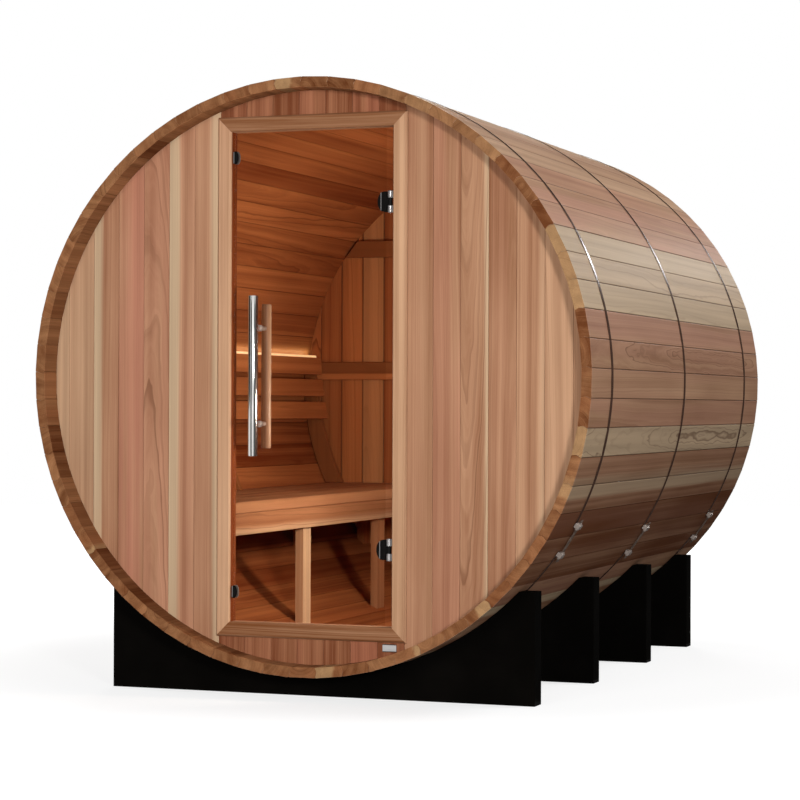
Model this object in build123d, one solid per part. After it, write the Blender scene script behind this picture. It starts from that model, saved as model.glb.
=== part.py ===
"""Barrel sauna: 65 cedar staves hooped round two end walls, on four black cradles,
with a glass door in the front wall and one long bench with a backrest inside.

Millimetres. +X is to the right as one faces the door, +Y runs from the door to the back wall,
+Z is up. The origin is on the ground, under the middle of the barrel. Sections across the barrel
are drawn about the barrel's axis, and depths are counted from the front ends of the staves."""

from build123d import *
import math
import os

# ---------------------------------------------------------------- driving dimensions
# Fit
gap = 0.3  # between pieces that bear on each other
swing_gap = 5.5  # round the edges of the door

# Barrel
barrel_radius = 950.0  # to the outer faces of the staves
barrel_length = 2400.0
barrel_lift = 72.0  # ground to the underside of the barrel
stave_count = 65
stave_thickness = 33.0
stave_first_joint = 1.65  # degrees above the right-hand side of the barrel
stave_chamfer = 2.2  # V groove along each outer joint
stave_ledge = 3.5  # flat lip either side of the bead
stave_bead = 4.0  # how far the bead reaches into the next stave's cove
stave_segments = 5  # nodes that the ring of staves is written in

# End walls
wall_thickness = 40.0
wall_groove = 8.5  # how far a wall reaches into the staves
front_recess = 80.0  # stave ends to the outer face of the front wall
back_recess = 105.0  # stave ends to the outer face of the back wall

# Doorway
opening_half_width = 279.0
over_opening = 124.4  # top of the opening to the inside of the barrel, on the middle line
under_opening = 128.9
jamb_thickness = 28.0
trim_width = 47.5
trim_thickness = 10.0
trim_outer_bevel = 6.0
trim_inner_bevel = 3.5

# Door leaf
glass_thickness = 8.0
glass_setback = 4.0  # outer face of the front wall to the outer face of the glass
hinge_from_top = 237.5  # top of the opening to the middle of the upper hinge
hinge_from_bottom = 243.0
hinge_pin_inset = 15.5  # side of the opening to the pin
hinge_pin_radius = 3.0
hinge_knuckle_radius = 8.0
hinge_height = 69.0
hinge_middle_height = 23.4
hinge_clamp_radius = 32.0
hinge_clamp_plate = 4.0
hinge_glass_edge = 13.5  # hinge pin to the edge of the glass
hinge_leaf_thickness = 4.0
hinge_leaf_reach = 11.0  # of the leaf beyond the middle of the glass
catch_from_top = 82.5  # top of the opening to the middle of the upper catch
catch_from_bottom = 96.0
catch_radius = 21.0
catch_plate = 3.5
catch_wrap = 1.2  # metal round the edge of the glass

# Handles
handle_inset = 96.0  # side of the opening to the middle of the handles
handle_rise = 2.25  # of their middle above the middle of the opening
handle_reach = 53.0  # middle of the glass to the middle of either bar
handle_tube_length = 514.0
handle_tube_radius = 16.0
handle_tube_wall = 1.5
handle_cap_depth = 6.0
handle_bar_length = 467.0
handle_bar_radius = 16.0
handle_bolt_spacing = 308.0
handle_bolt_radius = 4.0
handle_collar_radius = 7.0
handle_bolt_tail = 12.0  # of the bolt inside the inner collar

# Cradles
cradle_horn = 52.5  # flat top at either end, beside the barrel
cradle_thickness = 72.0
cradle_height = 355.0
cradles_from_front = (137.0, 807.0)  # front stave ends to the front of a cradle
cradles_from_back = (817.0, 198.0)  # back stave ends to the back of a cradle

# Hoops
hoop_from_front = 230.0  # stave ends to the middle of a hoop
hoop_from_middle = 22.0  # the middle hoop, forward of the barrel's middle
hoop_from_back = 255.0
hoop_width = 20.0
hoop_thickness = 1.2
hoop_relief = 3.0  # play round a hoop where a cradle bears on it
tensioner_angle = -34.0
tensioner_span = 108.0  # between the middles of its two lugs
lug_length = 15.0
lug_height = 17.0
lug_width = 30.0
rod_radius = 2.6
rod_spacing = 16.0
rod_tail = 24.0  # beyond the middle of each lug

# Bench
bench_from_opening = 13.0  # side of the doorway to the front of the seat
bench_wall_gap = 5.5  # between the seat's back edge and the staves
seat_height = 508.9  # above the lowest of the staves' inner faces
seat_thickness = 38.0
seat_boards = 5
seat_board_gap = 3.5
bench_end_gap = 1.0  # to the end walls
apron_overhang = 6.0  # of the seat beyond the apron
apron_thickness = 20.0
apron_height = 71.0
bearer_height = 45.0
frame_thickness = 28.0  # bearers, legs and backrest ribs
leg_width = 72.0
rear_leg_inset = 157.0  # back edge of the seat to the leg's front
frame_inset = 37.0  # end walls to the middle of the first and last frames
frame_front_bay = 655.0  # between the middles of the first two frames
frame_back_bay = 672.0  # between the middles of the last two

# Backrest
rib_waist = 34.3  # staves to the ribs' curved front edge, at the middle of its curve
rib_foot = 77.9  # staves to that edge, at the seat
rib_middle_height = 552.0  # of that curve's middle, above the seat
rib_height = 515.0  # above the seat
rib_outer_gap = 12.0  # to the staves
rib_inset = 50.0  # end wall to the first rib
rib_back_inset = 23.0
slat_rises = (479.0, 388.0, 295.0)  # above the seat, to their middles
slat_width = 70.0
slat_thickness = 22.0
light_width = 16.0
light_height = 10.0

# Battens on the back wall
batten_thickness = 22.0
upper_batten_drop = 325.9  # top of the inside of the barrel to its upper edge
upper_batten_width = 68.0
lower_batten_rise = 18.0  # barrel's axis to its lower edge
lower_batten_width = 72.0
batten_end_gap = 8.0

# Label plate under the door
plate_width = 47.0
plate_height = 25.0
plate_thickness = 1.5
plate_stave_gap = 2.5  # between its outer lower corner and the staves
plate_drop = 18.0  # below the door's trim, to its middle

# ---------------------------------------------------------------- derived dimensions
axis_height = barrel_lift + barrel_radius
stave_half_angle = math.pi / stave_count
inner_radius = barrel_radius * math.cos(stave_half_angle) - stave_thickness
wall_radius = inner_radius + wall_groove
groove_radius = wall_radius + gap
opening_top = inner_radius - over_opening  # heights are above the barrel's axis
opening_bottom = under_opening - inner_radius
opening_middle = (opening_top + opening_bottom) / 2
front_wall_depths = (front_recess, front_recess + wall_thickness)
back_wall_depths = (barrel_length - back_recess - wall_thickness, barrel_length - back_recess)
frame_half_width = opening_half_width + jamb_thickness
frame_top = opening_top + jamb_thickness
frame_bottom = opening_bottom - jamb_thickness
trim_half_width = opening_half_width + trim_width
trim_front = front_recess - gap - trim_thickness
glass_front = front_recess + glass_setback
glass_back = glass_front + glass_thickness
glass_middle = (glass_front + glass_back) / 2
hinge_leaf_back = glass_middle + hinge_leaf_reach
hinge_heights = (opening_top - hinge_from_top, opening_bottom + hinge_from_bottom)
hinge_pin_x = opening_half_width - hinge_pin_inset
catch_heights = (opening_top - catch_from_top, opening_bottom + catch_from_bottom)
handle_x = -opening_half_width + handle_inset
handle_centre = opening_middle + handle_rise
glass_left = -opening_half_width + swing_gap + catch_wrap + gap
glass_right = hinge_pin_x - hinge_glass_edge
glass_top = opening_top - swing_gap
glass_bottom = opening_bottom + swing_gap
cradle_fronts = cradles_from_front + tuple(
    barrel_length - inset - cradle_thickness for inset in cradles_from_back
)
hoop_centres = (hoop_from_front, barrel_length / 2 - hoop_from_middle, barrel_length - hoop_from_back)
hoop_inner_radius = barrel_radius + gap
hoop_outer_radius = hoop_inner_radius + hoop_thickness
inside_front = front_wall_depths[1]
inside_back = back_wall_depths[0]
seat_top = seat_height - inner_radius
seat_bottom = seat_top - seat_thickness
bench_front_x = -opening_half_width - bench_from_opening
bench_back_x = bench_wall_gap - math.sqrt(inner_radius**2 - seat_bottom**2)
rear_leg_x = bench_back_x + rear_leg_inset
frame_depths = (
    inside_front + frame_inset,
    inside_front + frame_inset + frame_front_bay,
    inside_back - frame_inset - frame_back_bay,
    inside_back - frame_inset,
)
rib_top = seat_top + rib_height
rib_centre_z = seat_top + rib_middle_height
rib_waist_x = rib_waist - math.sqrt(inner_radius**2 - rib_centre_z**2)
rib_foot_x = rib_foot - math.sqrt(inner_radius**2 - seat_top**2)
rib_sag = rib_foot_x - rib_waist_x
rib_radius = (rib_sag**2 + rib_middle_height**2) / (2 * rib_sag)
rib_centre_x = rib_waist_x + rib_radius
first_rib = inside_front + rib_inset
last_rib = inside_back - rib_back_inset - frame_thickness
rib_depths = (first_rib, (first_rib + last_rib) / 2, last_rib)
apron_front_x = bench_front_x - apron_overhang
apron_back_x = apron_front_x - apron_thickness
bearer_top = seat_bottom - gap
bearer_bottom = bearer_top - bearer_height
upper_batten_top = inner_radius - upper_batten_drop
batten_levels = (
    (upper_batten_top - upper_batten_width, upper_batten_top),
    (lower_batten_rise, lower_batten_rise + lower_batten_width),
)
plate_middle = opening_bottom - trim_width - plate_drop
plate_bottom = plate_middle - plate_height / 2
plate_right = math.sqrt((inner_radius - plate_stave_gap) ** 2 - plate_bottom**2)


# ---------------------------------------------------------------- helpers
def y_at(depth):
    """Y of a place that lies this far behind the front ends of the staves."""
    return depth - barrel_length / 2


def across(depth):
    """Plane across the barrel: local x is +X, local y is +Z, and the origin is on the axis."""
    return Plane(origin=(0, y_at(depth), axis_height), x_dir=(1, 0, 0), z_dir=(0, -1, 0))


def slab(section, front, back):
    """A section across the barrel, carried from one depth to another."""
    return extrude(across(back) * section, amount=back - front)


def panel(x_from, x_to, z_from, z_to):
    """Rectangle across the barrel, from its two corners."""
    centre = Pos((x_from + x_to) / 2, (z_from + z_to) / 2)
    return centre * Rectangle(abs(x_to - x_from), abs(z_to - z_from))


def block(x_from, x_to, z_from, z_to, front, back):
    """Square-edged board or block, from its corners."""
    return slab(panel(x_from, x_to, z_from, z_to), front, back)


def upright(x, depth, radius, z_from, z_to):
    """Round bar standing up inside the doorway."""
    base = Pos(x, y_at(depth), axis_height + z_from)
    return base * Cylinder(radius, z_to - z_from, align=(Align.CENTER, Align.CENTER, Align.MIN))


def bolt(x, z, radius, front, back):
    """Round bar running from front to back."""
    return slab(Pos(x, z) * Circle(radius), front, back)


def write(node, solids):
    """One STEP file for a node."""
    export_step(Compound(list(solids)), f"parts/{node}.step")


# ---------------------------------------------------------------- staves
def stave_section():
    """One stave in the +X direction: bead on its upper side, cove on its lower side."""
    slope = math.tan(stave_half_angle)
    outer = barrel_radius * math.cos(stave_half_angle)
    inner = outer - stave_thickness
    shoulder = outer - stave_chamfer

    def edge(radius):
        return radius * slope - gap / 2

    bead_from = inner + stave_ledge
    bead_to = shoulder - stave_ledge
    bead_mid = (bead_from + bead_to) / 2
    upper = [
        Line((inner, edge(inner)), (bead_from, edge(bead_from))),
        ThreePointArc(
            (bead_from, edge(bead_from)),
            (bead_mid, edge(bead_mid) + stave_bead),
            (bead_to, edge(bead_to)),
        ),
        Line((bead_to, edge(bead_to)), (shoulder, edge(shoulder))),
        Line((shoulder, edge(shoulder)), (outer, edge(outer) - stave_chamfer)),
    ]
    lower = [
        Line((outer, -edge(outer) + stave_chamfer), (shoulder, -edge(shoulder))),
        Line((shoulder, -edge(shoulder)), (bead_to, -edge(bead_to))),
        ThreePointArc(
            (bead_to, -edge(bead_to)),
            (bead_mid, -edge(bead_mid) + stave_bead),
            (bead_from, -edge(bead_from)),
        ),
        Line((bead_from, -edge(bead_from)), (inner, -edge(inner))),
    ]
    face_line = Line((outer, edge(outer) - stave_chamfer), (outer, -edge(outer) + stave_chamfer))
    back_line = Line((inner, -edge(inner)), (inner, edge(inner)))
    return make_face(upper + [face_line] + lower + [back_line])


def make_staves():
    """All the staves, each with a groove for either end wall, in order round the barrel."""
    stave = slab(stave_section(), 0, barrel_length)
    for front, back in (front_wall_depths, back_wall_depths):
        stave -= slab(Circle(groove_radius), front - gap, back + gap)
    stave = Pos(0, 0, -axis_height) * stave.solid()
    pitch = 360 / stave_count
    staves = []
    for index in range(stave_count):
        angle = stave_first_joint + pitch * (index + 0.5)
        staves.append(Pos(0, 0, axis_height) * Rot(0, -angle, 0) * stave)
    return staves


# ---------------------------------------------------------------- end walls
def make_front_wall():
    """The front wall's four pieces round the door's frame."""
    disc = Circle(wall_radius)
    edge = frame_half_width + gap
    pieces = {
        "front_wall_left": disc & panel(-barrel_radius, -edge, -barrel_radius, barrel_radius),
        "front_wall_right": disc & panel(edge, barrel_radius, -barrel_radius, barrel_radius),
        "front_wall_over_door": disc & panel(-frame_half_width, frame_half_width, frame_top + gap, barrel_radius),
        "front_wall_under_door": disc & panel(-frame_half_width, frame_half_width, -barrel_radius, frame_bottom - gap),
    }
    return {name: slab(section, *front_wall_depths) for name, section in pieces.items()}


def make_back_wall():
    return slab(Circle(wall_radius), *back_wall_depths)


def make_battens():
    """Two boards across the inside of the back wall, their ends cut to the curve."""
    back = inside_back - gap
    disc = Circle(inner_radius - batten_end_gap)
    return [
        slab(disc & panel(-barrel_radius, barrel_radius, low, high), back - batten_thickness, back)
        for low, high in batten_levels
    ]


# ---------------------------------------------------------------- door frame and trim
def make_jambs():
    """Upright sides of the door frame, the right one let in for the hinges."""
    left = block(-frame_half_width, -opening_half_width, frame_bottom, frame_top, *front_wall_depths)
    right = block(opening_half_width, frame_half_width, frame_bottom, frame_top, *front_wall_depths)
    for height in hinge_heights:
        half = hinge_height / 2 + gap
        right -= block(
            opening_half_width - gap,
            opening_half_width + hinge_leaf_thickness + gap,
            height - half,
            height + half,
            front_recess - gap,
            hinge_leaf_back + gap,
        )
    return [left, right]


def make_head_and_sill():
    """Top and bottom of the door frame, between its sides."""
    half = opening_half_width - gap
    return [
        block(-half, half, opening_top, frame_top, *front_wall_depths),
        block(-half, half, frame_bottom, opening_bottom, *front_wall_depths),
    ]


def trim_bar(length):
    """Straight length of trim along +X: the opening is below it and its face looks to -Y."""
    thick = trim_thickness
    profile = make_face(
        Polyline(
            (0, 0),
            (0, thick - trim_inner_bevel),
            (trim_inner_bevel, thick),
            (trim_width - trim_outer_bevel, thick),
            (trim_width, thick - trim_outer_bevel),
            (trim_width, 0),
            close=True,
        )
    )
    end_on = Plane(origin=(-length / 2, 0, 0), x_dir=(0, 0, 1), z_dir=(1, 0, 0))
    return extrude(end_on * profile, amount=length)


def mitred_trim(inner_length):
    """Trim bar cut back at 45 degrees from its inner edge, which is this long."""
    bar = trim_bar(inner_length + 2 * trim_width)
    outline = Polyline(
        (-inner_length / 2, 0),
        (inner_length / 2, 0),
        (inner_length / 2 + trim_width, trim_width),
        (-inner_length / 2 - trim_width, trim_width),
        close=True,
    )
    upright_plane = Plane(origin=(0, trim_thickness, 0), x_dir=(1, 0, 0), z_dir=(0, -1, 0))
    return bar & extrude(upright_plane * make_face(outline), amount=3 * trim_thickness)


def make_trim():
    """Mitred trim round the doorway: the two sides, then the head and the sill."""
    height = opening_top - opening_bottom
    middle = axis_height + opening_middle
    depth = y_at(front_recess - gap)
    side = mitred_trim(height - 2 * gap)
    level = mitred_trim(2 * opening_half_width - 2 * gap)
    half = opening_half_width
    sides = [
        Pos(half, depth, middle) * Rot(0, 90, 0) * side,
        Pos(-half, depth, middle) * Rot(0, -90, 0) * side,
    ]
    levels = [
        Pos(0, depth, axis_height + opening_top) * level,
        Pos(0, depth, axis_height + opening_bottom) * Rot(0, 180, 0) * level,
    ]
    return sides, levels


# ---------------------------------------------------------------- door leaf
def make_glass():
    """Door glass, with the holes for the handle's bolts."""
    glass = block(glass_left, glass_right, glass_bottom, glass_top, glass_front, glass_back)
    for height in handle_bolt_heights():
        glass -= bolt(handle_x, height, handle_bolt_radius + gap, glass_front - gap, glass_back + gap)
    return glass


def handle_bolt_heights():
    half = handle_bolt_spacing / 2
    return (handle_centre - half, handle_centre + half)


def make_outer_handle():
    """Steel tube outside the glass, with a cap in each end."""
    depth = glass_middle - handle_reach
    low = handle_centre - handle_tube_length / 2
    high = handle_centre + handle_tube_length / 2
    bore = handle_tube_radius - handle_tube_wall
    tube = upright(handle_x, depth, handle_tube_radius, low, high)
    tube -= upright(handle_x, depth, bore, low, high)
    lower_cap = upright(handle_x, depth, bore - gap, low, low + handle_cap_depth)
    upper_cap = upright(handle_x, depth, bore - gap, high - handle_cap_depth, high)
    return [tube, lower_cap, upper_cap]


def make_inner_handle():
    """Wooden bar inside the glass."""
    half = handle_bar_length / 2
    depth = glass_middle + handle_reach
    return upright(handle_x, depth, handle_bar_radius, handle_centre - half, handle_centre + half)


def make_standoffs():
    """Outer collars with their bolts through the glass, and the inner collars that take them."""
    tube_back = glass_middle - handle_reach + handle_tube_radius + gap
    bar_front = glass_middle + handle_reach - handle_bar_radius - gap
    bolt_end = glass_back + gap + handle_bolt_tail
    solids = []
    for height in handle_bolt_heights():
        outer = bolt(handle_x, height, handle_collar_radius, tube_back, glass_front - gap)
        outer += bolt(handle_x, height, handle_bolt_radius, glass_front - gap, bolt_end)
        inner = bolt(handle_x, height, handle_collar_radius, glass_back + gap, bar_front)
        inner -= bolt(handle_x, height, handle_bolt_radius + gap, glass_back + gap, bolt_end + gap)
        solids += [outer, inner]
    return solids


def clamp_plates(outline, plate):
    """The same outline on both faces of the glass."""
    front = slab(outline, glass_front - gap - plate, glass_front - gap)
    back = slab(outline, glass_back + gap, glass_back + gap + plate)
    return front, back


def make_hinge_clamp(height):
    """Half-round clamp on the edge of the glass, with the hinge's middle knuckle."""
    edge_x = glass_right + gap
    half = hinge_middle_height / 2
    disc = Pos(edge_x, height) * Circle(hinge_clamp_radius)
    outline = disc & panel(0, edge_x + gap, -barrel_radius, barrel_radius)
    front, back = clamp_plates(outline, hinge_clamp_plate)
    plate_front = glass_front - gap - hinge_clamp_plate
    plate_back = glass_back + gap + hinge_clamp_plate
    bridge = block(edge_x, hinge_pin_x - hinge_pin_radius - gap, height - half, height + half, plate_front, plate_back)
    knuckle = upright(hinge_pin_x, glass_middle, hinge_knuckle_radius, height - half, height + half)
    bore = upright(hinge_pin_x, glass_middle, hinge_pin_radius + gap, height - half, height + half)
    return front + back + bridge + knuckle - bore


def make_hinge_bracket(height):
    """Leaf let into the jamb, with the upper and lower knuckles and the pin."""
    half = hinge_height / 2
    inner_half = hinge_middle_height / 2 + gap
    bracket = block(
        opening_half_width,
        opening_half_width + hinge_leaf_thickness,
        height - half,
        height + half,
        front_recess,
        hinge_leaf_back,
    )
    bracket += upright(hinge_pin_x, glass_middle, hinge_pin_radius, height - half, height + half)
    for low, high in ((height - half, height - inner_half), (height + inner_half, height + half)):
        bracket += upright(hinge_pin_x, glass_middle, hinge_knuckle_radius, low, high)
        bracket += block(hinge_pin_x, opening_half_width, low, high, glass_front, glass_back)
    return bracket


def make_catch(height):
    """Half-round catch wrapped round the free edge of the glass."""
    edge_x = glass_left - gap
    disc = Pos(edge_x - catch_radius / 4, height) * Circle(catch_radius)
    outline = disc & panel(edge_x - catch_wrap, 0, -barrel_radius, barrel_radius)
    front, back = clamp_plates(outline, catch_plate)
    rim = outline & panel(edge_x - catch_wrap, edge_x, -barrel_radius, barrel_radius)
    web = slab(rim, glass_front - gap, glass_back + gap)
    return front + web + back


# ---------------------------------------------------------------- cradles and hoops
def make_cradle(front):
    """Beam hollowed to the barrel, and grooved where a hoop passes between them."""
    back = front + cradle_thickness
    rim_height = cradle_height - axis_height
    half = math.sqrt((barrel_radius + gap) ** 2 - rim_height**2) + cradle_horn
    section = panel(-half, half, -axis_height, rim_height)
    section -= Circle(barrel_radius + gap)
    cradle = slab(section, front, back)
    for centre in hoop_centres:
        low = centre - hoop_width / 2 - hoop_relief
        high = centre + hoop_width / 2 + hoop_relief
        if low < back and high > front:
            cradle -= slab(Circle(hoop_outer_radius + gap), low, high)
    return cradle


def tensioner_frame(centre):
    """Place of a tensioner: local x is out from the barrel, local z is along the hoop."""
    return Pos(0, y_at(centre), axis_height) * Rot(0, -tensioner_angle, 0)


def make_hoop(centre):
    """Steel strap round the barrel, open between the tensioner's lugs."""
    ring = Circle(hoop_outer_radius) - Circle(hoop_inner_radius)
    open_half = tensioner_span / 2 - lug_length / 2 + gap
    opening = Rot(0, 0, tensioner_angle) * Pos(barrel_radius, 0) * Rectangle(barrel_radius, 2 * open_half)
    return slab(ring - opening, centre - hoop_width / 2, centre + hoop_width / 2)


def make_tensioner(centre):
    """Two lugs on the ends of a strap, and the two threaded rods that draw them together."""
    near = tensioner_span / 2 - lug_length / 2
    base = math.sqrt(hoop_outer_radius**2 - near**2) + gap
    rod_x = base + lug_height * 0.6
    place = tensioner_frame(centre)
    solids = []
    for side in (-1, 1):
        lug = Pos(base + lug_height / 2, 0, side * tensioner_span / 2) * Box(lug_height, lug_width, lug_length)
        for across_hoop in (-rod_spacing / 2, rod_spacing / 2):
            middle = Pos(rod_x, across_hoop, side * tensioner_span / 2)
            lug -= middle * Cylinder(rod_radius + gap, 2 * lug_length)
        solids.append(place * lug)
    for across_hoop in (-rod_spacing / 2, rod_spacing / 2):
        rod = Pos(rod_x, across_hoop, 0) * Cylinder(rod_radius, tensioner_span + 2 * rod_tail)
        solids.append(place * rod)
    return solids


# ---------------------------------------------------------------- bench
def make_seat():
    """Seat boards along the barrel."""
    span = bench_front_x - bench_back_x
    width = (span - (seat_boards - 1) * seat_board_gap) / seat_boards
    front = inside_front + bench_end_gap
    back = inside_back - bench_end_gap
    boards = []
    for index in range(seat_boards):
        right = bench_front_x - index * (width + seat_board_gap)
        boards.append(block(right - width, right, seat_bottom, seat_top, front, back))
    return boards


def make_apron():
    """Board along the front of the bench, under the seat."""
    top = seat_bottom - gap
    front = inside_front + bench_end_gap
    back = inside_back - bench_end_gap
    return block(apron_back_x, apron_front_x, top - apron_height, top, front, back)


def leg(x_right, depth):
    """Flat leg from the bearer down to the curve of the staves."""
    front = depth - leg_width / 2
    section = panel(x_right - frame_thickness, x_right, -barrel_radius, bearer_bottom - gap)
    return slab(section & Circle(inner_radius - gap), front, front + leg_width)


def make_bearers():
    """Boards across the legs that carry the seat, clear of the curved wall."""
    right = apron_back_x - gap
    wall_x = -math.sqrt((inner_radius - gap) ** 2 - bearer_bottom**2)
    return [
        block(
            wall_x,
            right,
            bearer_bottom,
            bearer_top,
            depth - frame_thickness / 2,
            depth + frame_thickness / 2,
        )
        for depth in frame_depths
    ]


def rib_edge_x(height):
    """X of the ribs' front edge at this height above the axis."""
    return rib_centre_x - math.sqrt(rib_radius**2 - (height - rib_centre_z) ** 2)


def make_ribs():
    """Curved ribs that stand on the seat and carry the backrest."""
    foot = seat_top + gap
    section = Circle(inner_radius - rib_outer_gap) & panel(-barrel_radius, bench_front_x, foot, rib_top)
    section -= Pos(rib_centre_x, rib_centre_z) * Circle(rib_radius)
    return [slab(section, depth, depth + frame_thickness) for depth in rib_depths]


def backrest_length():
    """Front and back ends of the slats, which run from the front wall to the back wall's battens."""
    return inside_front + bench_end_gap, inside_back - gap - batten_thickness - bench_end_gap


def make_slats():
    """Backrest slats, each square to the ribs' front edge."""
    front, back = backrest_length()
    slats = []
    for rise in slat_rises:
        height = seat_top + rise
        edge_x = rib_edge_x(height)
        angle = math.degrees(math.atan2(height - rib_centre_z, edge_x - rib_centre_x))
        place = Pos(rib_centre_x, rib_centre_z) * Rot(0, 0, angle)
        back_edges = math.sqrt(rib_radius**2 - (slat_width / 2) ** 2) - gap
        board = Pos(back_edges - slat_thickness / 2, 0) * Rectangle(slat_thickness, slat_width)
        slats.append(slab(place * board, front, back))
    return slats


def make_light_strip():
    """Slim lamp lying on the ribs, behind the top slat."""
    front, back = backrest_length()
    right = rib_edge_x(rib_top) - gap
    bottom = rib_top + gap
    return block(right - light_width, right, bottom, bottom + light_height, front, back)


# ---------------------------------------------------------------- label plate
def make_plate():
    """Plain metal plate on the wall below the door."""
    back = front_recess - gap
    return block(
        plate_right - plate_width,
        plate_right,
        plate_bottom,
        plate_bottom + plate_height,
        back - plate_thickness,
        back,
    )


# ---------------------------------------------------------------- nodes
def main():
    os.makedirs("parts", exist_ok=True)

    staves = make_staves()
    per_node = stave_count // stave_segments
    for index in range(stave_segments):
        last = stave_count if index == stave_segments - 1 else (index + 1) * per_node
        write(f"staves_{index + 1}", staves[index * per_node : last])

    for name, solid in make_front_wall().items():
        write(name, [solid])
    write("back_wall", [make_back_wall()])
    write("back_wall_battens", make_battens())

    write("door_jambs", make_jambs())
    write("door_head_and_sill", make_head_and_sill())
    sides, levels = make_trim()
    write("door_trim_sides", sides)
    write("door_trim_head_and_sill", levels)

    write("door_glass", [make_glass()])
    write("handle_tube_outside", make_outer_handle())
    write("handle_bar_inside", [make_inner_handle()])
    write("handle_standoffs", make_standoffs())
    write("hinge_clamps", [make_hinge_clamp(height) for height in hinge_heights])
    write("hinge_brackets", [make_hinge_bracket(height) for height in hinge_heights])
    write("door_catches", [make_catch(height) for height in catch_heights])

    for index, front in enumerate(cradle_fronts):
        write(f"cradle_{index + 1}", [make_cradle(front)])
    for index, centre in enumerate(hoop_centres):
        write(f"hoop_{index + 1}", [make_hoop(centre)])
        write(f"hoop_tensioner_{index + 1}", make_tensioner(centre))

    write("bench_seat", make_seat())
    write("bench_apron", [make_apron()])
    write("bench_bearers", make_bearers())
    write("bench_front_legs", [leg(apron_back_x, depth) for depth in frame_depths])
    write("bench_rear_legs", [leg(rear_leg_x, depth) for depth in frame_depths])
    write("backrest_ribs", make_ribs())
    write("backrest_slats", make_slats())
    write("light_strip", [make_light_strip()])
    write("label_plate", [make_plate()])


main()
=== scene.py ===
"""Barrel sauna: the visual model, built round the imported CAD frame.

Metres, +X right as one faces the door, +Y along the barrel, +Z up. Sizes are written in
millimetres as in the part's source: x, depth behind the front stave ends, height above the axis.
"""

import math
import random

import bmesh
import bpy
from mathutils import Matrix, Vector


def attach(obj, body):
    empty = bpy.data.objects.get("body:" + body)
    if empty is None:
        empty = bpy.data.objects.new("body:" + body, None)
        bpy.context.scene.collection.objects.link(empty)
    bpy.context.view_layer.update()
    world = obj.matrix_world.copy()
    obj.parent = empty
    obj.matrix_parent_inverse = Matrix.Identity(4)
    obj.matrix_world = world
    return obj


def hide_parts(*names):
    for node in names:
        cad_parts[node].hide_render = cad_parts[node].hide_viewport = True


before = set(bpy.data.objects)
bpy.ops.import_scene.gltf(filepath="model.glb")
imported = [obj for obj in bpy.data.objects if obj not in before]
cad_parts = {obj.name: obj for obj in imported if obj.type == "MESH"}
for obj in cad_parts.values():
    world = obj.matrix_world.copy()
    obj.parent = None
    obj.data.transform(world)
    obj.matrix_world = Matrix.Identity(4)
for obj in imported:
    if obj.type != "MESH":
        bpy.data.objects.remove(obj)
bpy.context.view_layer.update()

# ---- sizes, from the part
MM = 0.001
AXIS = 1022
RADIUS = 950
LENGTH = 2400
STAVES = 65
FIRST_JOINT = 1.65
PITCH = 360 / STAVES
HALF = math.pi / STAVES
STAVE_T = 33
INNER = RADIUS * math.cos(HALF) - STAVE_T
GAP = 0.3
FRONT_WALL = (80, 120)
BACK_WALL = (2255, 2295)
WALL_REACH = INNER - 0.4
OPEN_X = 279
OPEN_TOP = INNER - 124.4
OPEN_BOTTOM = 128.9 - INNER
OPEN_MIDDLE = (OPEN_TOP + OPEN_BOTTOM) / 2
OPEN_HALF = (OPEN_TOP - OPEN_BOTTOM) / 2
JAMB = 28
TRIM_W = 47.5
TRIM_T = 10
GLASS = (84, 92)
GLASS_MID = 88
HINGES = (OPEN_TOP - 237.5, OPEN_BOTTOM + 243)
CATCHES = (OPEN_TOP - 82.5, OPEN_BOTTOM + 96)
PIN_X = 263.5
PIN_R = 3
KNUCKLE_R = 8
BRACKET_HALF = 34.5
CLAMP_HALF = 32
MIDDLE_KNUCKLE_HALF = 11.7
HANDLE_X = -OPEN_X + 96
HANDLE_Z = OPEN_MIDDLE + 2.25
HANDLE_R = 16
HANDLE_REACH = 53
TUBE_HALF = 257
BAR_HALF = 233.5
BOLT_HALF = 154
SEAT_TOP = 508.9 - INNER
SEAT_T = 38
SEAT_BOARDS = 5
SEAT_GAP = 3.5
BATTEN_T = 22
FRAMES = (157, 812, 1546, 2218)
HOOPS = (230, 1178, 2145)
HOOP_HALF = 10
HOOP_T = 0.9
LUG = (17, 15, 30)
LUG_PLACE = 108 / 2
CRADLES = (137, 807, 1511, 2130)
CRADLE_T = 72
CRADLE_TOP = 355 - AXIS


def at(x, depth, height):
    """A place in the row frame, in metres."""
    return Vector((x * MM, (depth - LENGTH / 2) * MM, (AXIS + height) * MM))


def half_chord(radius, off):
    """Half the width of a circle at a distance from its centre."""
    return math.sqrt(max(0, radius**2 - off**2))


def around(angle, out=0, x=0, z=0):
    """Gives the place of (along the barrel, across, outwards) for a piece turned about an axis."""
    ca, sa = math.cos(angle), math.sin(angle)

    def place(s, a, r):
        return at(x + ca * (out + r) - sa * a, s, z + sa * (out + r) + ca * a)

    return place


# ---- shader helpers
class Value:
    """The output of a node, which adds, subtracts and multiplies by way of math nodes."""

    def __init__(self, tree, socket):
        self.tree = tree
        self.socket = socket

    def __add__(self, other):
        return self.tree.math("ADD", self, other)

    def __radd__(self, other):
        return self.tree.math("ADD", other, self)

    def __sub__(self, other):
        return self.tree.math("SUBTRACT", self, other)

    def __rsub__(self, other):
        return self.tree.math("SUBTRACT", other, self)

    def __mul__(self, other):
        return self.tree.math("MULTIPLY", self, other)


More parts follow.
